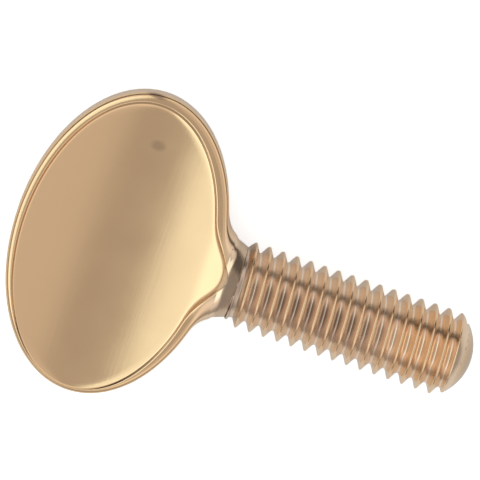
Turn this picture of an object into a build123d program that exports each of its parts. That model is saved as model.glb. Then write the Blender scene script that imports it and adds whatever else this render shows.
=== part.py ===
# A thumb screw in solid brass, made in one piece: an oval spade head, dished on both
# sides for the finger and thumb, a short plain neck, and a coarse M6 thread with a
# domed point. Sizes are in millimetres. The screw is drawn along X from the middle of
# its head, and then laid down the way it comes to rest.
import os
from math import asin, atan2, ceil, cos, degrees, radians, sin, tan

from build123d import *

os.makedirs("parts", exist_ok=True)

# Oval head
head_width = 21.4
head_length = 14.3
rim_thickness = 2.4
rim_chamfer = 0.35

# Dishes in the two faces of the head: a shallow floor in a low sloping wall
dish_depth = 0.65
wall_height = 0.15
wall_angle = 45
rim_at_sides = 0.55
rim_at_far_end = 0.5
rim_at_neck = 1.1

# Neck, from the end of the head to the start of the thread
neck_diameter = 5.5
neck_length = 1.0
neck_blend = 1.3

# Thread and domed point. The phase is the share of a turn by which the first crest
# leads the start of the thread.
thread_diameter = 6.0
thread_pitch = 1.0
thread_length = 17.35
crest_phase = 0.6
point_radius = 3.6

# Standard proportions of a metric thread
thread_depth = 0.6134 * thread_pitch
crest_width = thread_pitch / 8
flank_angle = radians(30)

half_length = head_length / 2
half_width = head_width / 2
half_rim = rim_thickness / 2
neck_radius = neck_diameter / 2
crest_radius = thread_diameter / 2
root_radius = crest_radius - thread_depth
thread_start = half_length + neck_length
point_reach = thread_start + thread_length
axis_plane = Plane.XZ


def oval(reach_x, reach_y):
    """The sketch face of an oval of four arcs that touch smoothly. Its ends are a little
    blunter than an ellipse's, whose end radius is reach_x squared over reach_y."""
    end_radius = 1.13 * reach_x**2 / reach_y
    end_centre = reach_y - end_radius
    side_radius = (reach_x**2 + end_centre**2 - end_radius**2) / (
        2 * (reach_x - end_radius)
    )
    side_centre = side_radius - reach_x
    touch = atan2(end_centre, side_centre)
    touch_x = side_radius * cos(touch) - side_centre
    touch_y = side_radius * sin(touch)
    with BuildSketch() as drawn:
        with BuildLine():
            ThreePointArc((touch_x, -touch_y), (reach_x, 0), (touch_x, touch_y))
            ThreePointArc((touch_x, touch_y), (0, reach_y), (-touch_x, touch_y))
            ThreePointArc((-touch_x, touch_y), (-reach_x, 0), (-touch_x, -touch_y))
            ThreePointArc((-touch_x, -touch_y), (0, -reach_y), (touch_x, -touch_y))
        make_face()
    return drawn.sketch


# The neck runs into the head at one end, and at the other it tapers off below the
# crests, so that the groove of the thread grows out of it
neck_root = half_length / 2
neck_end = thread_start + 0.3 * thread_pitch
taper_end = neck_end + thread_pitch
with BuildPart() as neck:
    with BuildSketch(axis_plane):
        with BuildLine():
            Polyline(
                (neck_root, 0),
                (neck_root, neck_radius),
                (neck_end, neck_radius),
                (taper_end, root_radius - thread_depth / 8),
                (taper_end, 0),
                (neck_root, 0),
            )
        make_face()
    revolve(axis=Axis.X)

# The space scooped out of the upper face: inside a wall that slopes outwards, and above
# a floor that curves up to the wall, less along the head's width than along its length
floor_height = half_rim - dish_depth
wall_foot = half_rim - wall_height
dish_half_length = half_length - (rim_at_far_end + rim_at_neck) / 2
dish_half_width = half_width - rim_at_sides
dish_centre = (rim_at_far_end - rim_at_neck) / 2
floor_rise = wall_foot - floor_height
foot_inset = wall_height * tan(radians(wall_angle))
length_radius = (dish_half_length - foot_inset) ** 2 / (2 * floor_rise)
width_radius = (dish_half_width - foot_inset) ** 2 / (2 * floor_rise)
scoop_reach = dish_half_length + neck_radius
low_inset = (half_rim - floor_height / 2) * tan(radians(wall_angle))
with BuildPart() as dish:
    with BuildSketch(Plane.XY.offset(floor_height / 2)):
        add(oval(dish_half_length - low_inset, dish_half_width - low_inset))
    extrude(amount=2 * neck_radius - floor_height / 2, taper=-wall_angle)
    with BuildSketch(axis_plane, mode=Mode.PRIVATE) as scoop:
        with BuildLine():
            floor = ThreePointArc(
                (-scoop_reach, floor_height + scoop_reach**2 / (2 * length_radius)),
                (0, floor_height),
                (scoop_reach, floor_height + scoop_reach**2 / (2 * length_radius)),
            )
            Polyline(
                floor @ 1,
                (scoop_reach, 3 * neck_radius),
                (-scoop_reach, 3 * neck_radius),
                floor @ 0,
            )
        make_face()
    scoop_axis = Axis((0, 0, floor_height + width_radius), (1, 0, 0))
    half_turn = degrees(asin((half_width + neck_radius) / width_radius))
    swept = scoop.sketch.rotate(scoop_axis, -half_turn)
    revolve(swept, axis=scoop_axis, revolution_arc=2 * half_turn, mode=Mode.INTERSECT)

with BuildPart() as head:
    with BuildSketch(Plane.XY.offset(-half_rim)):
        add(oval(half_length, half_width))
    extrude(amount=rim_thickness)
    outline_edges = head.edges().group_by(Axis.Z)
    chamfer(outline_edges[0] + outline_edges[-1], rim_chamfer)
    add(neck.part)
    seam = head.edges().filter_by_position(Axis.X, neck_root * 1.01, half_length)
    seam = seam.filter_by_position(Axis.Y, -neck_radius * 1.01, neck_radius * 1.01)
    seam = seam.filter_by(lambda edge: abs(edge.center().Y) > neck_radius / 2)
    fillet(seam, neck_blend)
    add(dish.part.moved(Location((dish_centre, 0, 0))), mode=Mode.SUBTRACT)
    add(dish.part.mirror(Plane.XY).moved(Location((dish_centre, 0, 0))), mode=Mode.SUBTRACT)

# The thread: a rod whose surface winds up, turn by turn, in a right-hand helix. Each
# turn has a narrow flat crest, a flank of 30 degrees on both sides of it, and a root.
# The rod runs past both ends of the thread.
flank_run = thread_depth * tan(flank_angle)
rod_start = thread_start + (crest_phase - 2.5) * thread_pitch
rod_turns = ceil(thread_length / thread_pitch) + 3
turn_profile = [
    (-crest_width / 2, crest_radius),
    (crest_width / 2, crest_radius),
    (crest_width / 2 + flank_run, root_radius),
    (thread_pitch - crest_width / 2 - flank_run, root_radius),
    (thread_pitch - crest_width / 2, crest_radius),
]


def one_turn(x, radius):
    """One turn of a helix round X. It starts above the axis at x."""
    return Edge.make_helix(
        thread_pitch, thread_pitch, radius, center=(x, 0, 0), normal=(1, 0, 0)
    )


def rod_end(x):
    """The two faces that close the rod where a turn starts at x: a spiral ramp from the
    axis to the edge of the crest, and the flat step where the ramp has gone round."""
    low = x - crest_width / 2
    high = low + thread_pitch
    ramp = Face.make_surface_from_curves(
        Edge.make_line((low, 0, 0), (high, 0, 0)), one_turn(low, crest_radius)
    )
    corners = [(x + along, 0, radius) for along, radius in turn_profile]
    step = Face(Wire.make_polygon([(low, 0, 0), *corners, (high, 0, 0)]))
    return [ramp, step]


rod_faces = rod_end(rod_start) + rod_end(rod_start + rod_turns * thread_pitch)
for turn in range(rod_turns):
    turn_start = rod_start + turn * thread_pitch
    helices = [one_turn(turn_start + along, radius) for along, radius in turn_profile]
    for left, right in zip(helices, helices[1:]):
        rod_faces.append(Face.make_surface_from_curves(left, right))

# The bar that bounds the thread, with a chamfer at its start and a domed point
clear_radius = crest_radius + thread_depth / 6
start_radius = neck_radius - thread_depth / 4
dome_centre = point_reach - point_radius
dome_end = dome_centre + (point_radius**2 - clear_radius**2) ** 0.5
dome_mid = radians(30)
with BuildPart() as bar:
    with BuildSketch(axis_plane):
        with BuildLine():
            Polyline(
                (point_reach, 0),
                (thread_start, 0),
                (thread_start, start_radius),
                (thread_start + clear_radius - start_radius, clear_radius),
                (dome_end, clear_radius),
            )
            ThreePointArc(
                (dome_end, clear_radius),
                (dome_centre + point_radius * cos(dome_mid), point_radius * sin(dome_mid)),
                (point_reach, 0),
            )
        make_face()
    revolve(axis=Axis.X)

with BuildPart() as shank:
    add(Solid(Shell(rod_faces)))
    add(bar.part, mode=Mode.INTERSECT)

# At rest the screw leans on the far edge of its rim and on the underside of its first
# full crest, with the point raised
first_crest = thread_start + crest_phase * thread_pitch - crest_width / 2
rest_tilt = atan2(crest_radius - half_rim, first_crest + half_length - rim_chamfer)
with BuildPart() as drawn:
    add(head.part)
    add(shank.part)
with BuildPart() as thumb_screw:
    with Locations(Rotation(0, -degrees(rest_tilt), 0)):
        add(drawn.part)
box = thumb_screw.part.bounding_box()
lowest = first_crest * sin(rest_tilt) - crest_radius * cos(rest_tilt)
thumb_screw.part.move(Location((-box.center().X, -box.center().Y, -lowest)))

thumb_screw.part.label = "thumb_screw"
export_step(thumb_screw.part, "parts/thumb_screw.step")
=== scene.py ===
# %% [markdown]
# # A brass thumb screw, seen from above
# A thumb screw is turned by finger and thumb, so its head is a flat oval with a dish in
# both faces. The CAD part gives the size, the place and the thread. This script lays one
# finer surface over it, and adds satin brass, a floor, the lights and the camera.
#
# The screw is first worked out in its own millimetres: X runs from the middle of the head
# to the point, Y across the head, and Z up through the upper face. One function then lays
# the points down in the shared frame, in metres.

# %% Load the CAD part
import math

import bpy
import numpy as np
from mathutils import Matrix, Vector


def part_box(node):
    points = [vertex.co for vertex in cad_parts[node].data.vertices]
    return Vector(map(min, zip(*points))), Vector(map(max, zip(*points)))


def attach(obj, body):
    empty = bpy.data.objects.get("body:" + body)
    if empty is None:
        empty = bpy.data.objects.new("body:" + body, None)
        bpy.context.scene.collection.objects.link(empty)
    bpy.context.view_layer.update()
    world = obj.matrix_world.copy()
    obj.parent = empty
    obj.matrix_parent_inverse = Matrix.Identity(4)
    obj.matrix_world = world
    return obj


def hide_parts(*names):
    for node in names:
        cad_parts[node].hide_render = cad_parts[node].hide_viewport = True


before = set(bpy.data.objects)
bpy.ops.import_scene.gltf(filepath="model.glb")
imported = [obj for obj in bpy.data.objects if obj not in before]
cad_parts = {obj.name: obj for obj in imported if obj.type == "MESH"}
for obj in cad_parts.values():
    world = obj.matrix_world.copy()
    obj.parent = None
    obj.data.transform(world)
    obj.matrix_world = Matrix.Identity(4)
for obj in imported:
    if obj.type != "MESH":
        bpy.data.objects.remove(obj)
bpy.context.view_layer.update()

# %% [markdown]
# ## Sizes
# These are the part's own sizes in millimetres. The thread is M6 with a pitch of 1 mm.
# Each later step adds the few sizes that only the picture needs, such as a soft edge.

# %% The part's own sizes
HALF_LENGTH = 7.15
HALF_WIDTH = 10.7
HALF_RIM = 1.2
RIM_CHAMFER = 0.35
DISH_DEPTH = 0.65
WALL_HEIGHT = 0.15
NECK_RADIUS = 2.75
CREST_RADIUS = 3.0
PITCH = 1.0
THREAD_DEPTH = 0.6134
FLANK_ANGLE = math.radians(30)
THREAD_START = 8.15
CREST_PHASE = 0.6
POINT_REACH = 25.5
POINT_RADIUS = 3.6
ROOT_RADIUS = CREST_RADIUS - THREAD_DEPTH
print("head", 2 * HALF_WIDTH, "x", 2 * HALF_LENGTH, "x", 2 * HALF_RIM, "mm")

# %% [markdown]
# ## How the screw lies
# A screw with a wide head can't lie level. It leans on the far end of its rim and on the
# underside of its first full crest. It could be turned by eye, but here the tilt follows
# from those two points, as it does in the part, and the shift puts its end at the part's.

# %% Lay points down in the shared frame
first_crest = THREAD_START + CREST_PHASE * PITCH - PITCH / 16
tilt = math.atan2(CREST_RADIUS - HALF_RIM, first_crest + HALF_LENGTH - RIM_CHAMFER)
lift = CREST_RADIUS * math.cos(tilt) - first_crest * math.sin(tilt)
cad_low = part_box("thumb_screw")[0]
back_end = -HALF_LENGTH * math.cos(tilt) - (HALF_RIM - RIM_CHAMFER) * math.sin(tilt)
shift = cad_low.x * 1000 - back_end
print("tilt", round(math.degrees(tilt), 3), "shift", round(shift, 4), "lift", round(lift, 4))


def laid(points):
    """Points of the screw, an array of rows in mm, as rows in the shared frame in
    metres: x' = x cos t - z sin t + shift and z' = x sin t + z cos t + lift."""
    x, y, z = points.T
    c, s = math.cos(tilt), math.sin(tilt)
    return np.stack([x * c - z * s + shift, y, x * s + z * c + lift], axis=1) / 1000


# %% [markdown]
# ## The outer surface of the head
# The head and the neck are one piece, and flow into each other without a seam. A rounded
# plate with a cylinder pushed into it would show one. So each is a formula that says how
# far a point is outside it, less than zero inside, and a softened minimum joins them.

# %% Join two shapes softly
def smooth_union(a, b, reach):
    """The lesser of a and b, rounded where they are within reach of each other:
    min(a, b) - h h / (4 reach), with h = max(reach - |a - b|, 0)."""
    h = np.maximum(reach - np.abs(a - b), 0)
    return np.minimum(a, b) - h * h / (4 * reach)


print("1 mm outside both, joined over 2 mm:", smooth_union(1.0, 1.0, 2.0))

# %% Plate and neck
EDGE_ROUND = 0.35
INSET = 0.012
NECK_INNER_END = 2.5
INNER_END_SLOPE = 50
NECK_JOIN = 8.55
JOIN_RADIUS = 2.52
NECK_BLEND = 1.9
LEAST_BLEND = 0.02

# Places along X, and half the neck's thickness or width at each
NECK_HALF_THICKNESS = ((5.8, 7.5, 8.45, NECK_JOIN), (1.25, 1.62, 2.44, JOIN_RADIUS))
NECK_HALF_WIDTH = ((8.0, NECK_JOIN), (NECK_RADIUS, JOIN_RADIUS))


def outside_plate(x, y, z):
    """How far a point is outside the plate, in mm, nearly: the distance to a disc of
    radius HALF_LENGTH, stretched along Y, with edges rounded by EDGE_ROUND."""
    across = np.hypot(x, y * HALF_LENGTH / HALF_WIDTH) - (HALF_LENGTH - INSET - EDGE_ROUND)
    over = np.abs(z) - (HALF_RIM - INSET - EDGE_ROUND)
    past_edge = np.hypot(np.maximum(across, 0), np.maximum(over, 0))
    return past_edge + np.minimum(np.maximum(across, over), 0) - EDGE_ROUND


def outside_head(x, y, z):
    """How far a point is outside plate and neck. The neck's section is an ellipse that
    becomes a circle at NECK_JOIN, where the blend ends. A steep term ends it inside."""
    wide = np.interp(x, *NECK_HALF_WIDTH)
    thick = np.interp(x, *NECK_HALF_THICKNESS)
    inner_end = INNER_END_SLOPE * np.maximum(NECK_INNER_END - x, 0)
    neck = np.hypot(y, z * wide / thick) - wide + inner_end
    blend = LEAST_BLEND + NECK_BLEND * np.clip(NECK_JOIN - x, 0, 1)
    return smooth_union(outside_plate(x, y, z), neck, blend)


print("middle of the head is inside by", -round(float(outside_head(0.0, 0.0, 0.0)), 3), "mm")

# %% [markdown]
# ## The dish
# The dish in each face gives the finger and the thumb their grip, and its lip is crisp. A
# cut with a bevelled edge would have a flat floor, which reflects like a mirror. Here the
# dish is a height over the middle plane: a bowl fills an oval, and a low wall climbs from
# it at 45 degrees. At the neck the wall follows a rounded lobe, and the bowl sweeps up
# into a tongue, as the photo shows.

# %% Edge of the dish
# The oval is a little larger than the part's, and off centre as in the photo
DISH_HALF_LENGTH = 6.5
DISH_HALF_WIDTH = 10.3
DISH_CENTRE = (-0.15, -0.25)
LOBE_SHARE = 0.194
LOBE_MIDDLE = 0.28
LOBE_HALF_WIDTH = 2.1
LOBE_POWER = 2.5


def dish_ratio(x, y, lobe=0.0):
    """0 at the middle of the dish and 1 on the oval at its edge. On the side of the neck
    the oval reaches further out, by the share lobe."""
    reach = DISH_HALF_LENGTH * (1 + np.where(x > 0, lobe, 0))
    across = (x - DISH_CENTRE[0]) / reach
    return np.hypot(across, (y - DISH_CENTRE[1]) / DISH_HALF_WIDTH)


def edge_ratio(x, y):
    """1 on the edge of the dish, which is the oval with its lobe. The lobe's share is
    LOBE_SHARE exp(-|u|^LOBE_POWER), where u is y from LOBE_MIDDLE in half widths."""
    u = (y - LOBE_MIDDLE) / LOBE_HALF_WIDTH
    return dish_ratio(x, y, LOBE_SHARE * np.exp(-(np.abs(u) ** LOBE_POWER)))


print("oval", 2 * DISH_HALF_WIDTH, "x", 2 * DISH_HALF_LENGTH, "mm")

# %% Height of the dish
WALL_FOOT_ROUND = 0.06
TONGUE_SPAN = (5.6, 7.6)
TONGUE_RISE = 0.25


def climb_over(value, low, high):
    """0 up to low, 1 from high on, and an even climb between them."""
    return np.clip((value - low) / (high - low), 0, 1)


def dish_height(x, y):
    """The bowl, h0 + h1 ratio^2, plus the tongue, TONGUE_RISE (3 t^2 - 2 t^3) over its
    span, plus the wall, which is 0 inside its foot and climbs with the edge ratio."""
    bowl = HALF_RIM - DISH_DEPTH + (DISH_DEPTH - WALL_HEIGHT) * dish_ratio(x, y) ** 2
    t = climb_over(x, *TONGUE_SPAN)
    bowl = bowl + TONGUE_RISE * t * t * (3 - 2 * t)
    climb = WALL_HEIGHT + (edge_ratio(x, y) - 1) * DISH_HALF_LENGTH
    return bowl - smooth_union(-climb, np.zeros_like(climb), WALL_FOOT_ROUND)


crown = float(dish_height(np.zeros(1), np.zeros(1))[0])
print("the dish's middle is", round(crown, 3), "mm over the middle plane")

# %% [markdown]
# ## Rays round the head
# A square grid of points would cut across the lip and leave it jagged. So the mesh follows
# rays from the middle of the head, closer together at the neck, and the lip becomes one
# line of edges. Where a ray leaves a shape is found by halving: one place is inside,
# another is outside, and the gap between them is halved until it is next to nothing.

# %% Rays and halving
# FAN is the number of points on the ring at the neck, RING_HALF those of its upper half
FAN = 96
RING_HALF = FAN // 2 + 1
NEAR_TURN = math.radians(13)
NEAR_RAYS = 30
FAR_RAYS = 220


def halved(inside, low, high, steps=46):
    """The place between low and high, arrays, where inside(place) turns false."""
    for _ in range(steps):
        middle = (low + high) / 2
        within = inside(middle)
        low, high = np.where(within, middle, low), np.where(within, high, middle)
    return (low + high) / 2


def head_directions():
    """Unit rays (cos, sin) round the head, and equal angles round the upper half of the
    ring where the neck meets the shank. The first RING_HALF rays end at those angles."""
    stretch = HALF_WIDTH / HALF_LENGTH
    circle = np.linspace(-math.pi / 2, math.pi / 2, RING_HALF)
    fan = np.arctan2(JOIN_RADIUS * np.sin(circle) / stretch, NECK_JOIN)
    near = np.linspace(fan[-1], fan[-1] + NEAR_TURN, NEAR_RAYS + 1)[1:]
    far = np.linspace(near[-1], 2 * math.pi - near[-1], FAR_RAYS + 1)[1:]
    turn = np.concatenate([fan, near, far, 2 * math.pi - near[::-1][1:]])
    ray = np.stack([np.cos(turn), stretch * np.sin(turn)], axis=1)
    return ray / np.linalg.norm(ray, axis=1, keepdims=True), circle


rays, circle = head_directions()
print("rays", len(rays))

# %% [markdown]
# ## Rows of the dish
# The rows of points run from the middle of the dish to the foot of its wall, and up the
# wall to the lip, where the dish meets the outer surface. Rows at a fixed distance would
# miss the wall, which is narrow, so foot and lip are found first on every ray.

# %% Rows from the middle to the lip
NEAREST_EDGE = 1.0
FARTHEST_EDGE = 14.0
FLOOR_ROWS = 30
FLOOR_CROWDING = 0.85
WALL_ROWS = 8
WALL_CROWDING = 1.3


def shares(count, power=1):
    """The numbers from 1 / count to 1, each to the given power, as a column."""
    return np.linspace(0, 1, count + 1)[1:, None] ** power


def dish_rows(cx, cy):
    """Points of the dish as an array (rows, rays, 3), and the distance to the lip."""
    nearest = np.full(len(cx), NEAREST_EDGE)
    farthest = np.full(len(cx), FARTHEST_EDGE)
    lip = halved(
        lambda r: outside_head(r * cx, r * cy, dish_height(r * cx, r * cy)) < 0,
        nearest,
        farthest,
    )
    foot_ratio = 1 - WALL_HEIGHT / DISH_HALF_LENGTH
    foot = halved(lambda r: edge_ratio(r * cx, r * cy) < foot_ratio, nearest, farthest)
    floor = shares(FLOOR_ROWS, FLOOR_CROWDING) * foot
    wall = foot + shares(WALL_ROWS, WALL_CROWDING) * (lip - foot)
    r = np.concatenate([floor, wall])
    return np.stack([r * cx, r * cy, dish_height(r * cx, r * cy)], axis=2), lip


inner, lip = dish_rows(*rays.T)
print("the lip is", lip.min().round(2), "to", lip.max().round(2), "mm from the middle")

# %% [markdown]
# ## Rows of the rim
# From the lip the surface rolls over the edge and down to the middle plane, and at the
# neck it flows out to a ring. Steps of equal height would skip the rounded edge. Instead a
# fan of lines turns about a point inside the rim, and each ends where it leaves the head.

# %% Rows from the lip outwards
OUTER_ROWS = 24
PIVOT_DEPTH = 0.3
LONGEST_LINE = 12.0


def outer_rows(cx, cy, lip):
    """Points of the outer surface as an array (rows, rays, 3). On each ray the fan turns
    in equal steps about the point at lip - PIVOT_DEPTH z, where z is the lip's height."""
    lip_z = dish_height(lip * cx, lip * cy)
    pivot = lip - PIVOT_DEPTH * lip_z
    top = np.arctan2(lip_z, lip - pivot)
    on_ring = slice(RING_HALF)
    ring_y, ring_z = JOIN_RADIUS * np.sin(circle), JOIN_RADIUS * np.cos(circle)
    bottom = np.zeros(len(cx))
    bottom[on_ring] = np.arctan2(ring_z, NECK_JOIN / cx[on_ring] - pivot[on_ring])
    angle = top + (bottom - top) * shares(OUTER_ROWS)
    ca, sa = np.cos(angle), np.sin(angle)

    def inside(d):
        r, z = pivot + d * ca, d * sa
        return (outside_head(r * cx, r * cy, z) < 0) & (r * cx < NECK_JOIN)

    d = halved(inside, np.zeros_like(ca), np.full_like(ca, LONGEST_LINE))
    r, z = pivot + d * ca, d * sa
    outer = np.stack([r * cx, r * cy, z], axis=2)
    ring_x = np.full(RING_HALF, NECK_JOIN)
    outer[-1, on_ring] = np.stack([ring_x, ring_y, ring_z], axis=1)
    return outer


rows = np.concatenate([inner, outer_rows(*rays.T, lip)])
print("head rows, rays", rows.shape)

# %% [markdown]
# ## Both faces of the head
# The lower face mirrors the upper one. A mirror modifier would need a merge afterwards,
# so the points are mirrored here, and both halves use the same points on the middle line.

# %% Mesh of the head
ON_MIDDLE_LINE = 1e-4


def quads_of(a, b, c, d):
    """Rows of four point numbers, from four arrays of corners."""
    return np.stack([a, b, c, d], axis=2).reshape(-1, 4)


def head_mesh():
    """Points, quads and triangles of both halves of the head, and the numbers of the
    points on the ring at the neck, in order of angle."""
    count_rows, count_rays, _ = rows.shape
    upper = rows.reshape(-1, 3)
    points = np.concatenate([upper, upper * [1, 1, -1], [[0, 0, crown], [0, 0, -crown]]])
    top = np.arange(count_rows * count_rays).reshape(count_rows, count_rays)
    low = top + top.size
    shared = np.abs(rows[-1, :, 2]) < ON_MIDDLE_LINE
    low[-1, shared] = top[-1, shared]
    top_next, low_next = np.roll(top, -1, axis=1), np.roll(low, -1, axis=1)
    quads = [
        quads_of(top[:-1], top[1:], top_next[1:], top_next[:-1]),
        quads_of(low_next[:-1], low_next[1:], low[1:], low[:-1]),
    ]
    middle = np.full(count_rays, 2 * top.size)
    tris = [
        np.stack([middle, top[0], top_next[0]], axis=1),
        np.stack([middle + 1, low_next[0], low[0]], axis=1),
    ]
    ring = np.concatenate([top[-1, :RING_HALF], low[-1, 1 : RING_HALF - 1][::-1]])
    return points, np.concatenate(quads), np.concatenate(tris), ring


head_points, head_quads, head_tris, join_ring = head_mesh()
print("head", len(head_points), "points, ring", len(join_ring))

# %% [markdown]
# ## The profile of the thread
# A real thread has a crest, two flanks and a root, and none of its edges is quite sharp.
# Grooved rings would look like it only from afar. Here the radius is a formula of how far
# a place is past a crest. The chamfer at the start and the dome at the point cut it, and
# the neck tapers off into the first groove.

# %% Radius of the thread
CREST_ROUND = 0.05
ROOT_ROUND = 0.12
RUN_OUT_START = 8.36
INSET_RUN = 0.2


def thread_radius(x, phase):
    """Radius of the threaded surface at x, where phase is the distance past a crest in
    turns: the crest less (|phase| - 1/16) / tan 30, no less than the root, cut to the
    chamfer and the dome, and no less than the neck that tapers into the groove."""
    away = np.abs((phase + 0.5) % 1 - 0.5) * PITCH
    flank = CREST_RADIUS - (away - PITCH / 16) / math.tan(FLANK_ANGLE)
    ridge = smooth_union(flank, np.full_like(flank, CREST_RADIUS), CREST_ROUND)
    ridge = -smooth_union(-ridge, np.full_like(flank, -ROOT_RADIUS), ROOT_ROUND)
    chamfer = JOIN_RADIUS - THREAD_DEPTH / 4 + x - RUN_OUT_START
    past = np.clip(x - POINT_REACH + POINT_RADIUS, 0, POINT_RADIUS)
    dome = np.sqrt(POINT_RADIUS**2 - past**2)
    ridge = smooth_union(ridge, smooth_union(chamfer, dome, CREST_ROUND), CREST_ROUND)
    taper = (x - NECK_JOIN) / PITCH * (JOIN_RADIUS - ROOT_RADIUS + THREAD_DEPTH / 8)
    neck = JOIN_RADIUS - np.maximum(taper, 0)
    return np.maximum(ridge, neck) - INSET * np.clip((x - NECK_JOIN) / INSET_RUN, 0, 1)


crest_and_root = thread_radius(np.full(2, 15.0), np.array([0, 0.5]))
print("radius on a crest and in a root", crest_and_root.round(3))

# %% [markdown]
# ## Rows that wind with the thread
# If the rows of points were rings, every crest would cut across them and look like a saw.
# So the rows wind round the screw with the thread, and a crest is one unbroken line of
# edges. The column at angle a from the top meets a crest later by its lag, a share of a
# turn. Each turn starts and ends at the seam underneath.

# %% The winding grid
# Rows from a crest to the middle of the root, in pitches, closest where the form bends
ROW_PLACES = [0, 0.03, 0.055, 0.075, 0.11, 0.18, 0.26, 0.33, 0.385, 0.42, 0.46, 0.5]
END_IN_ROOT = 0.05

places = np.array(ROW_PLACES)
places = np.concatenate([places, 1 - places[-2:0:-1]])
angles = -90 + 360 * np.arange(FAN) / FAN
lag = (180 - np.where(angles > 180, angles - 360, angles)) / 360
crest_at_seam = THREAD_START + (CREST_PHASE - 1) * PITCH
dome_centre = POINT_REACH - POINT_RADIUS
thread_end = dome_centre + math.sqrt(POINT_RADIUS**2 - (ROOT_RADIUS - END_IN_ROOT) ** 2)
turns = math.ceil(thread_end - crest_at_seam) + 2
phase = (np.arange(-1, turns)[:, None] + places).ravel()
grid_x = crest_at_seam + (phase[:, None] + lag) * PITCH
print("winding rows, columns", grid_x.shape, "thread ends at", round(thread_end, 3))

# %% [markdown]
# ## Where the grid begins and ends
# The winding rows don't stop together, but the head ends in a plain ring and the dome
# starts with one. Cutting the grid would leave slivers. Instead the places before the neck
# share the head's last ring, those past the thread share the dome's first, and only the
# ones between have points of their own.

# %% Number the points of the shank
DOME_RINGS = 14
SAME_PLACE = 1e-6


def shank_numbers(first_free):
    """The number of the point at each place of the grid, which places are free, and the
    numbers of the dome's rings. New points are numbered from first_free."""
    before, after = grid_x <= NECK_JOIN + SAME_PLACE, grid_x >= thread_end - SAME_PLACE
    free = ~(before | after)
    number = np.zeros(grid_x.shape, int)
    number[free] = first_free + np.arange(free.sum())
    dome = first_free + free.sum() + np.arange(DOME_RINGS * FAN).reshape(-1, FAN)
    number[before] = np.broadcast_to(join_ring, grid_x.shape)[before]
    number[after] = np.broadcast_to(dome[0], grid_x.shape)[after]
    return number, free, dome


number, free, dome = shank_numbers(len(head_points))
print("free places", free.sum(), "of", free.size)

# %% [markdown]
# ## Points of the shank
# Each free place is set at the thread's radius, and rings close the domed point. How deep
# a place is in the groove is kept too, because grooves hold dirt, go dull, and are painted
# paler against their shade. The photo shows the last turns cleaner, so the depth counts
# for less there.

# %% Place the points of the shank
CLEANER_SPAN = (19.0, 20.5)
CLEANER_BY = 0.65


def around(x, radius):
    """Points at x and radius, arrays with one column for each of the angles."""
    a = np.radians(np.broadcast_to(angles, x.shape))
    return np.stack([x, radius * np.sin(a), radius * np.cos(a)], axis=2)


def shank_points():
    """Points of the thread, the dome and its pole, and how deep in the groove each is,
    from 0 on a crest to 1 in a root."""
    radius = thread_radius(grid_x, np.broadcast_to(phase[:, None], grid_x.shape))
    counted = 1 - CLEANER_BY * climb_over(grid_x, *CLEANER_SPAN)
    depth = ((CREST_RADIUS - radius) / THREAD_DEPTH * counted)[free]
    start = math.acos((thread_end - dome_centre) / POINT_RADIUS)
    polar = np.linspace(start, 0, DOME_RINGS + 1)[:-1, None]
    ring_x = dome_centre + (POINT_RADIUS - INSET) * np.cos(polar) + np.zeros(FAN)
    rings = around(ring_x, (POINT_RADIUS - INSET) * np.sin(polar))
    pole = np.array([[POINT_REACH - INSET, 0, 0]])
    points = np.concatenate([around(grid_x, radius)[free], rings.reshape(-1, 3), pole])
    return points, np.concatenate([depth, np.zeros(len(points) - len(depth))])


threaded_points, shank_depth = shank_points()
points = np.concatenate([head_points, threaded_points])
print("shank points", len(threaded_points), "deepest", shank_depth.max().round(2))

# %% [markdown]
# ## One closed surface
# The real screw is one solid piece, and a gap in its surface would show as a dark line. So
# the ring at the neck carries on into the shank without a second set of points. Where two
# corners of a four-sided face are the same point, it becomes a triangle.

# %% Faces of the shank
def shank_faces():
    """Quads of the thread and the dome, and the triangles round the pole. Past the seam
    the next column is one turn on, so it is moved down by the rows of a turn."""
    wrap = int(np.argmin(lag))
    nxt = np.roll(number, -1, axis=1)
    late = np.roll(nxt[:, wrap], len(places))
    late[: len(places)] = join_ring[(wrap + 1) % FAN]
    nxt[:, wrap] = late
    dome_next = np.roll(dome, -1, axis=1)
    quads = [
        quads_of(number[:-1], nxt[:-1], nxt[1:], number[1:]),
        quads_of(dome[:-1], dome_next[:-1], dome_next[1:], dome[1:]),
    ]
    pole = np.full(FAN, len(points) - 1)
    return np.concatenate(quads), np.stack([dome[-1], dome_next[-1], pole], axis=1)


def without_doubles(quads):
    """Splits rows of four point numbers into true quads, and triangles where two
    neighbours are the same point. Rows with two such pairs have no area and go."""
    same = quads == np.roll(quads, -1, axis=1)
    short = same.sum(axis=1) == 1
    return quads[~same.any(axis=1)], quads[short][~same[short]].reshape(-1, 3)


shank_quads, tip_tris = shank_faces()
quads, tris = without_doubles(np.concatenate([head_quads, shank_quads]))
tris = np.concatenate([tris, head_tris, tip_tris])
print("quads", len(quads), "triangles", len(tris))

# %% [markdown]
# ## Wear, stains and painted light, point by point
# Handling keeps the head and the crests bright, while the grooves go dull and the middle
# ones are stained. The grooves are also painted paler against their shade, and the neck
# and the point are darkened with painted shade. Painting that on a picture would need an
# unwrapped surface. Instead two numbers are kept at each point, and the material reads them.
# The groove number goes from about 0 on a crest to 1 in a root, and is POLISHED on the head.
# The other number holds the stains of the grooves and the painted shade of the neck and
# the point, from 0 to 1.

# %% Groove numbers
POLISHED = -0.15
NECK_WEAR = 0.35
NECK_WEAR_SPAN = (6.3, 7.8)
PAST_LIP = 1.01


def groove_numbers():
    """For the head POLISHED, plus a wear that grows along the neck outside the lip, and
    for the shank the depth in the groove."""
    x, y, _ = head_points.T
    past_lip = edge_ratio(x, y) > PAST_LIP
    head = POLISHED + NECK_WEAR * past_lip * climb_over(x, *NECK_WEAR_SPAN)
    return np.concatenate([head, shank_depth])


groove = groove_numbers()
print("groove numbers from", groove.min().round(2), "to", groove.max().round(2))
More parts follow.
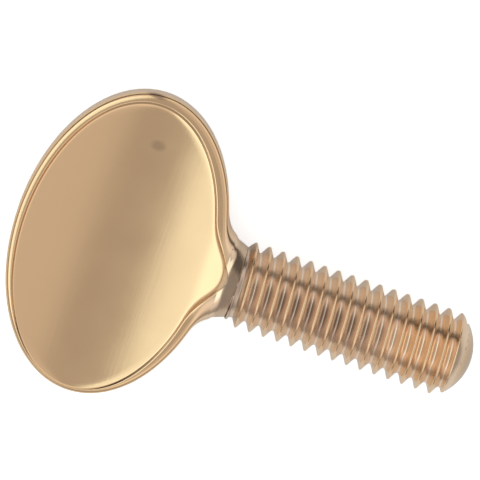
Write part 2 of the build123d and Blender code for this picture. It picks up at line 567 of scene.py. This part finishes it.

# %% Stains and painted shade
STAIN = 0.62
STAIN_MIDDLE = 14.0
STAIN_HALF_LENGTH = 5.5
STAIN_ANGLE = -2
STAIN_HALF_ANGLE = 26
STAINED_DEPTH = (0.5, 0.9)
# Painted shade on the neck
NECK_SHADE = 0.32
NECK_SHADE_START = (7.65, 7.95)
NECK_SHADE_END = (8.6, 9.2)
# Painted shade at the domed point, darker towards its end
POINT_SHADE = 0.45
POINT_SHADE_SPAN = (24.5, 25.1)


def stain_and_shade_numbers():
    """The stain of the middle grooves, STAIN exp(-u^4) exp(-v^4) times a climb with the
    depth, plus painted shade on the neck and the point. Here u is x from STAIN_MIDDLE in
    half lengths, and v the angle, from the top towards +Y, from STAIN_ANGLE in half angles."""
    x, y, z = points.T
    angle = np.degrees(np.arctan2(y, z))
    along = np.exp(-(((x - STAIN_MIDDLE) / STAIN_HALF_LENGTH) ** 4))
    about = np.exp(-(((angle - STAIN_ANGLE) / STAIN_HALF_ANGLE) ** 4))
    grooves = STAIN * along * about * climb_over(groove, *STAINED_DEPTH)
    # Painted shade on the neck and the point
    neck = climb_over(x, *NECK_SHADE_START) * (1 - climb_over(x, *NECK_SHADE_END))
    return grooves + NECK_SHADE * neck + POINT_SHADE * climb_over(x, *POINT_SHADE_SPAN)


stain_and_shade = stain_and_shade_numbers()
print("soil numbers from", stain_and_shade.min().round(2), "to", stain_and_shade.max().round(2))

# %% [markdown]
# ## The screw as an object
# A mesh object holds points, faces and named numbers for the points. Points that no face
# uses are left out first. Smooth shading suits the whole surface: the faces beside an
# edge are so narrow that the edge stays crisp. The screw stands for the part's node and
# rides on its body.

# %% Build the screw
def build_screw():
    """The object for the screw, smooth shaded, with its numbers as named attributes."""
    corners = np.concatenate([quads.ravel(), tris.ravel()])
    used, fresh = np.unique(corners, return_inverse=True)
    faces = fresh[: quads.size].reshape(-1, 4).tolist()
    faces += fresh[quads.size :].reshape(-1, 3).tolist()
    mesh = bpy.data.meshes.new("screw_surface")
    mesh.from_pydata(laid(points[used]), [], faces)
    own = points[used].astype(np.float32).ravel()
    mesh.attributes.new("groove", "FLOAT", "POINT").data.foreach_set("value", groove[used])
    mesh.attributes.new("own_mm", "FLOAT_VECTOR", "POINT").data.foreach_set("vector", own)
    mesh.attributes.new("stain_and_shade", "FLOAT", "POINT").data.foreach_set("value", stain_and_shade[used])
    mesh.shade_smooth()
    screw = bpy.data.objects.new("screw_surface", mesh)
    bpy.context.scene.collection.objects.link(screw)
    return screw


screw = build_screw()
print("screw", len(screw.data.vertices), "points", len(screw.data.polygons), "faces")
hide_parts("thumb_screw")
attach(screw, "root")

# %% [markdown]
# ## Helpers for materials
# A material is a network of nodes. Building it by hand takes three lines for every node,
# so one function adds a node with its settings and its links. Colours were matched to
# the photo and are written as sRGB. Rendering needs linear light, so one function
# converts them.

# %% Colours
def linear(hex_colour):
    """An sRGB colour such as "c79b6e" as linear red, green, blue and alpha."""
    parts = [int(hex_colour[i : i + 2], 16) / 255 for i in (0, 2, 4)]
    return [
        p / 12.92 if p <= 0.04045 else ((p + 0.055) / 1.055) ** 2.4 for p in parts
    ] + [1.0]


print("middle grey in linear light is", round(linear("808080")[0], 3))

# %% Nodes
def add_node(tree, kind, inputs=(), **settings):
    """Adds a node, sets its properties, then its inputs: a value, or a socket to link."""
    node = tree.nodes.new(kind)
    for name, value in settings.items():
        setattr(node, name, value)
    for name, value in dict(inputs).items():
        if isinstance(value, bpy.types.NodeSocket):
            tree.links.new(value, node.inputs[name])
        else:
            node.inputs[name].default_value = value
    return node


def graded(tree, value, span, levels):
    """A socket that goes from levels[0] to levels[1] as value goes over span, and stays
    level past both ends of it."""
    ends = {"From Min": span[0], "From Max": span[1], "To Min": levels[0], "To Max": levels[1]}
    return add_node(tree, "ShaderNodeMapRange", {"Value": value, **ends}).outputs["Result"]


def combined(tree, operation, *numbers):
    """A socket with the result of a maths operation on the numbers, or sockets, given."""
    node = add_node(tree, "ShaderNodeMath", enumerate(numbers), operation=operation)
    return node.outputs["Value"]


def moved(tree, operation, *vectors):
    """The node of a vector operation on the vectors, or sockets, given."""
    return add_node(tree, "ShaderNodeVectorMath", enumerate(vectors), operation=operation)


print("helpers", [helper.__name__ for helper in (add_node, graded, combined, moved)])

# %% [markdown]
# ## Colour of the brass
# Satin brass is a metal with a warm colour, duller in the grooves and painted paler there
# against their shade. It is darker where it is soiled, and at the neck and the point, where
# the darkening is painted shade. The photo also shows two small dark marks, one on the dish
# and one at the end of the rim. A picture could carry all this, but formulas stay sharp
# close up.

# %% Colour of the brass
BRASS = "f0c89c"
# Paler colour of the grooves, a painted lightening against their shade
PAINTED_LIGHT_BRASS = "f2dcc8"
# Colour of the stains and marks, and of the painted shade on the neck and the point
STAIN_AND_SHADE_BRASS = "7a6058"
MARK_FADE = (0.6, 1.5)

# Each mark has a centre and a reach in mm, and a strength
DISH_MARK = ((0.48, 7.24, 0.8), (0.42, 0.3, 0.8), 0.28)
RIM_MARK = ((-0.75, 10.5, 1.1), (0.6, 0.17, 0.4), 0.7)


def smudge(tree, place, centre, reach, strength):
    """A dark oval mark: strength near its centre, falling to 0 over MARK_FADE reaches."""
    from_centre = moved(tree, "SUBTRACT", place, centre).outputs["Vector"]
    in_reaches = moved(tree, "DIVIDE", from_centre, reach).outputs["Vector"]
    away = moved(tree, "LENGTH", in_reaches).outputs["Value"]
    return graded(tree, away, MARK_FADE, (strength, 0.0))


def mixed_colour(tree, share, first, second):
    """A colour socket: first, going over to second by the given share."""
    colours = {0: share, 6: first, 7: second}
    return add_node(tree, "ShaderNodeMix", colours, data_type="RGBA").outputs[2]


def brass_colour(tree, place, dullness_and_lift):
    """Brass that turns paler in the grooves, a painted lightening against their shade, and
    darker with the stains, with the painted shade of the neck and the point, and with the marks.
    """
    bare = mixed_colour(tree, dullness_and_lift, linear(BRASS), linear(PAINTED_LIGHT_BRASS))
    # Darkening from the stains, the marks, and the painted shade of the neck and the point
    stain_and_shade_share = add_node(tree, "ShaderNodeAttribute", attribute_name="stain_and_shade").outputs["Fac"]
    for mark in (DISH_MARK, RIM_MARK):
        stain_and_shade_share = combined(tree, "MAXIMUM", stain_and_shade_share, smudge(tree, place, *mark))
    return mixed_colour(tree, stain_and_shade_share, bare, linear(STAIN_AND_SHADE_BRASS))


print("brass", BRASS, "dull", PAINTED_LIGHT_BRASS, "soiled", STAIN_AND_SHADE_BRASS)

# %% [markdown]
# ## Roughness and grain
# Handled brass isn't evenly smooth. The roughness varies in soft patches and grows with
# dullness. Fine marks run across the head: a noise that is squeezed along X and drawn out
# along Y. They are too shallow to be modelled, so they are a slight bump.

# %% Roughness and grain
ROUGHNESS = (0.14, 0.18)
DULL_ROUGHNESS = 0.12
PATCHES = {"Scale": 0.35, "Detail": 3.0}
PATCH_SPAN = (0.3, 0.7)
GRAIN = {"Scale": 1.0, "Detail": 4.0}
GRAIN_SQUEEZE = (9.0, 0.2, 2.0)
GRAIN_BUMP = {"Strength": 0.12, "Distance": 0.000008}


def brass_roughness(tree, place, dullness_and_lift):
    """Patches between the two values of ROUGHNESS, plus DULL_ROUGHNESS times dullness."""
    patches = add_node(tree, "ShaderNodeTexNoise", {"Vector": place, **PATCHES})
    even = graded(tree, patches.outputs["Fac"], PATCH_SPAN, ROUGHNESS)
    return combined(tree, "MULTIPLY_ADD", dullness_and_lift, DULL_ROUGHNESS, even)


def brass_grain(tree, place):
    """Normals for the fine marks across the head."""
    squeezed = moved(tree, "MULTIPLY", place, GRAIN_SQUEEZE).outputs["Vector"]
    grain = add_node(tree, "ShaderNodeTexNoise", {"Vector": squeezed, **GRAIN})
    height = grain.outputs["Fac"]
    return add_node(tree, "ShaderNodeBump", {"Height": height, **GRAIN_BUMP}).outputs["Normal"]


print("roughness", ROUGHNESS, "and in grooves up to", DULL_ROUGHNESS, "more")

# %% The brass material
DULL_SPAN = (POLISHED, 0.5)
MOST_DULL = 0.85


def brass_material():
    """Satin brass, placed by the screw's own millimetres, so that it stays on the metal."""
    material = bpy.data.materials.new("brass")
    material.use_nodes = True
    tree = material.node_tree
    shader = tree.nodes["Principled BSDF"]
    shader.inputs["Metallic"].default_value = 1.0
    place = add_node(tree, "ShaderNodeAttribute", attribute_name="own_mm").outputs["Vector"]
    depth = add_node(tree, "ShaderNodeAttribute", attribute_name="groove").outputs["Fac"]
    # Dull grooves are rougher, and painted paler against their shade
    dullness_and_lift = graded(tree, depth, DULL_SPAN, (0.0, MOST_DULL))
    looks = {
        "Base Color": brass_colour(tree, place, dullness_and_lift),
        "Roughness": brass_roughness(tree, place, dullness_and_lift),
        "Normal": brass_grain(tree, place),
    }
    for name, socket in looks.items():
        tree.links.new(socket, shader.inputs[name])
    return material


brass = brass_material()
screw.data.materials.append(brass)
print("material", brass.name, "with", len(brass.node_tree.nodes), "nodes")

# %% [markdown]
# ## Floor
# The photo has a plain white ground. A floor lit by the lamps alone would be grey, and
# brighter lamps would wash out the brass. So the floor glows, but for the camera only,
# and still keeps a faint shadow.

# %% Floor
FLOOR_SIZE = 6.0
FLOOR_COLOUR = "fbfbfb"
FLOOR_ROUGHNESS = 0.9
FLOOR_SHEEN = 0.1
FLOOR_LIFT = 0.6


def pale_floor():
    """A flat pale plane under the screw that runs far past the edges of the picture."""
    bpy.ops.mesh.primitive_plane_add(size=FLOOR_SIZE, location=(0, 0, 0))
    floor = bpy.context.object
    floor.name = "floor"
    material = bpy.data.materials.new("floor")
    material.use_nodes = True
    tree = material.node_tree
    shader = tree.nodes["Principled BSDF"]
    shader.inputs["Base Color"].default_value = linear(FLOOR_COLOUR)
    shader.inputs["Roughness"].default_value = FLOOR_ROUGHNESS
    shader.inputs["Specular IOR Level"].default_value = FLOOR_SHEEN
    shader.inputs["Emission Color"].default_value = linear("ffffff")
    path = add_node(tree, "ShaderNodeLightPath")
    glow = combined(tree, "MULTIPLY", path.outputs["Is Camera Ray"], FLOOR_LIFT)
    tree.links.new(glow, shader.inputs["Emission Strength"])
    floor.data.materials.append(material)
    return floor


floor = pale_floor()
print("floor", round(floor.dimensions.x, 2), "x", round(floor.dimensions.y, 2), "m")

# %% [markdown]
# ## Soft boxes
# Polished metal shows mostly what it reflects. In the photo bright, dim and bright bands
# cross the dish, as from two large soft lights with a gap between them. Small lamps would
# give hard spots. The left box is the brighter one and a little cooler.

# %% Soft boxes
BOX_HEIGHT = 0.40
COOL_WHITE = "e7ffff"


def soft_box(name, low, high, brightness, colour="ffffff"):
    """A square-cornered area light facing down, over the rectangle from low to high in
    metres. Its power is pi times its area times its brightness."""
    lamp = bpy.data.lights.new(name, "AREA")
    lamp.shape = "RECTANGLE"
    lamp.size, lamp.size_y = high[0] - low[0], high[1] - low[1]
    lamp.energy = math.pi * lamp.size * lamp.size_y * brightness
    lamp.color = linear(colour)[:3]
    light = bpy.data.objects.new(name, lamp)
    light.location = ((low[0] + high[0]) / 2, (low[1] + high[1]) / 2, BOX_HEIGHT)
    bpy.context.scene.collection.objects.link(light)


soft_box("box_left", low=(-0.50, -0.40), high=(-0.095, 0.30), brightness=0.84, colour=COOL_WHITE)
soft_box("box_right", low=(-0.01, -0.40), high=(0.35, 0.30), brightness=0.21)

# %% [markdown]
# ## Sky
# What the lamps leave out, the sky fills in. Its brightness depends on height: middling
# overhead, for the dim band of the dish, brighter lower down, where the thread looks, and
# dim at the horizon, which darkens the outlines. A dark flag, as photographers use, stands
# low on the far side and draws a dark line along the thread. An even grey would leave the
# metal flat. The camera itself sees plain white.

# %% Brightness of the sky
# Heights, from 0 at the horizon to 1 overhead, and the brightness at each
SKY_LEVELS = ((0.0, 0.3), (0.35, 0.4), (0.55, 0.84), (0.74, 0.84), (0.87, 0.445))
FLAG_BOTTOM = (0.16, 0.2)
FLAG_TOP = (0.38, 0.42)
FLAG_SIDE = (0.2, 0.3)
FLAG_BRIGHTNESS = 0.04
SEEN_BRIGHTNESS = 1.0


def sky_by_height(tree, height):
    """A socket with the brightness at that height, 0 at the horizon and 1 overhead."""
    ramp = add_node(tree, "ShaderNodeValToRGB", {"Fac": height})
    stops = ramp.color_ramp.elements
    for place, level in SKY_LEVELS:
        stops.new(place).color = (level, level, level, 1)
    stops.remove(stops[0])
    stops.remove(stops[-1])
    return ramp.outputs["Color"]


def flag_share(tree, heading):
    """A socket that is 1 on the flag and 0 off it: below its top, above its bottom, and
    on the far side."""
    below = graded(tree, heading.outputs["Z"], FLAG_TOP, (1.0, 0.0))
    above = graded(tree, heading.outputs["Z"], FLAG_BOTTOM, (0.0, 1.0))
    beside = graded(tree, heading.outputs["Y"], FLAG_SIDE, (0.0, 1.0))
    return combined(tree, "MULTIPLY", combined(tree, "MULTIPLY", below, above), beside)


def mixed(tree, share, first, second):
    """A number socket: first, going over to second by the given share."""
    return add_node(tree, "ShaderNodeMix", {0: share, 2: first, 3: second}).outputs[0]


print("sky levels", SKY_LEVELS, "flag from", FLAG_BOTTOM[0], "to", FLAG_TOP[1])

# %% Hang the sky
def studio_sky():
    """The world round the screw, grey by height, with its flag, and white to the camera."""
    world = bpy.data.worlds.new("studio")
    bpy.context.scene.world = world
    world.use_nodes = True
    tree = world.node_tree
    direction = add_node(tree, "ShaderNodeTexCoord").outputs["Generated"]
    heading = add_node(tree, "ShaderNodeSeparateXYZ", {"Vector": direction})
    level = sky_by_height(tree, heading.outputs["Z"])
    level = mixed(tree, flag_share(tree, heading), level, FLAG_BRIGHTNESS)
    path = add_node(tree, "ShaderNodeLightPath")
    level = mixed(tree, path.outputs["Is Camera Ray"], level, SEEN_BRIGHTNESS)
    air = tree.nodes["Background"]
    tree.links.new(level, air.inputs["Strength"])
    air.inputs["Color"].default_value = linear("ffffff")
    return world


studio = studio_sky()
print("sky", studio.name, "with", len(studio.node_tree.nodes), "nodes")

# %% [markdown]
# ## Camera
# In the photo the screw's axis falls by 18.8 degrees to the right, and one pixel is
# 0.068 mm. The photo shows no clear perspective, so the camera is far off with a long
# lens. Placed by hand, it would have to be placed again after every change of size. Here
# it follows from the screw: TO_CAMERA is a direction in the screw's own axes.

# %% Camera
TO_CAMERA = (-0.061, 0.156, 0.986)
AXIS_FALL = math.radians(18.8)
MM_PER_PIXEL = 0.068
PHOTO_PIXELS = 480
HEAD_CENTRE_PIXEL = (117.4, 241.4)
DISTANCE = 0.30
SENSOR_MM = 36
CLIP_START = 0.01


def place_camera():
    """A camera that looks along TO_CAMERA at the middle of the photo's view, turned so
    that the screw's axis falls by AXIS_FALL in the picture."""
    x, y, z = TO_CAMERA
    c, s = math.cos(tilt), math.sin(tilt)
    back = Vector((x * c - z * s, y, x * s + z * c)).normalized()
    axis = Vector((c, 0, s))
    along = (axis - back * axis.dot(back)).normalized()
    beside = back.cross(along)
    right = math.cos(AXIS_FALL) * along + math.sin(AXIS_FALL) * beside
    up = back.cross(right)
    head = Vector(laid(np.zeros((1, 3)))[0])
    half = PHOTO_PIXELS / 2
    step = MM_PER_PIXEL / 1000
    aim = head + right * (half - HEAD_CENTRE_PIXEL[0]) * step
    aim += up * (HEAD_CENTRE_PIXEL[1] - half) * step
    lens = bpy.data.cameras.new("photo_camera")
    lens.sensor_width = SENSOR_MM
    lens.lens = SENSOR_MM * DISTANCE / (PHOTO_PIXELS * step)
    lens.clip_start = CLIP_START
    camera = bpy.data.objects.new("photo_camera", lens)
    turn = Matrix((right, up, back)).transposed().to_4x4()
    camera.matrix_world = Matrix.Translation(aim + back * DISTANCE) @ turn
    bpy.context.scene.collection.objects.link(camera)
    bpy.context.scene.camera = camera
    return camera


camera = place_camera()
bpy.context.scene.view_settings.view_transform = "Standard"
print("camera at", [round(v, 4) for v in camera.location], "lens", round(camera.data.lens, 1))
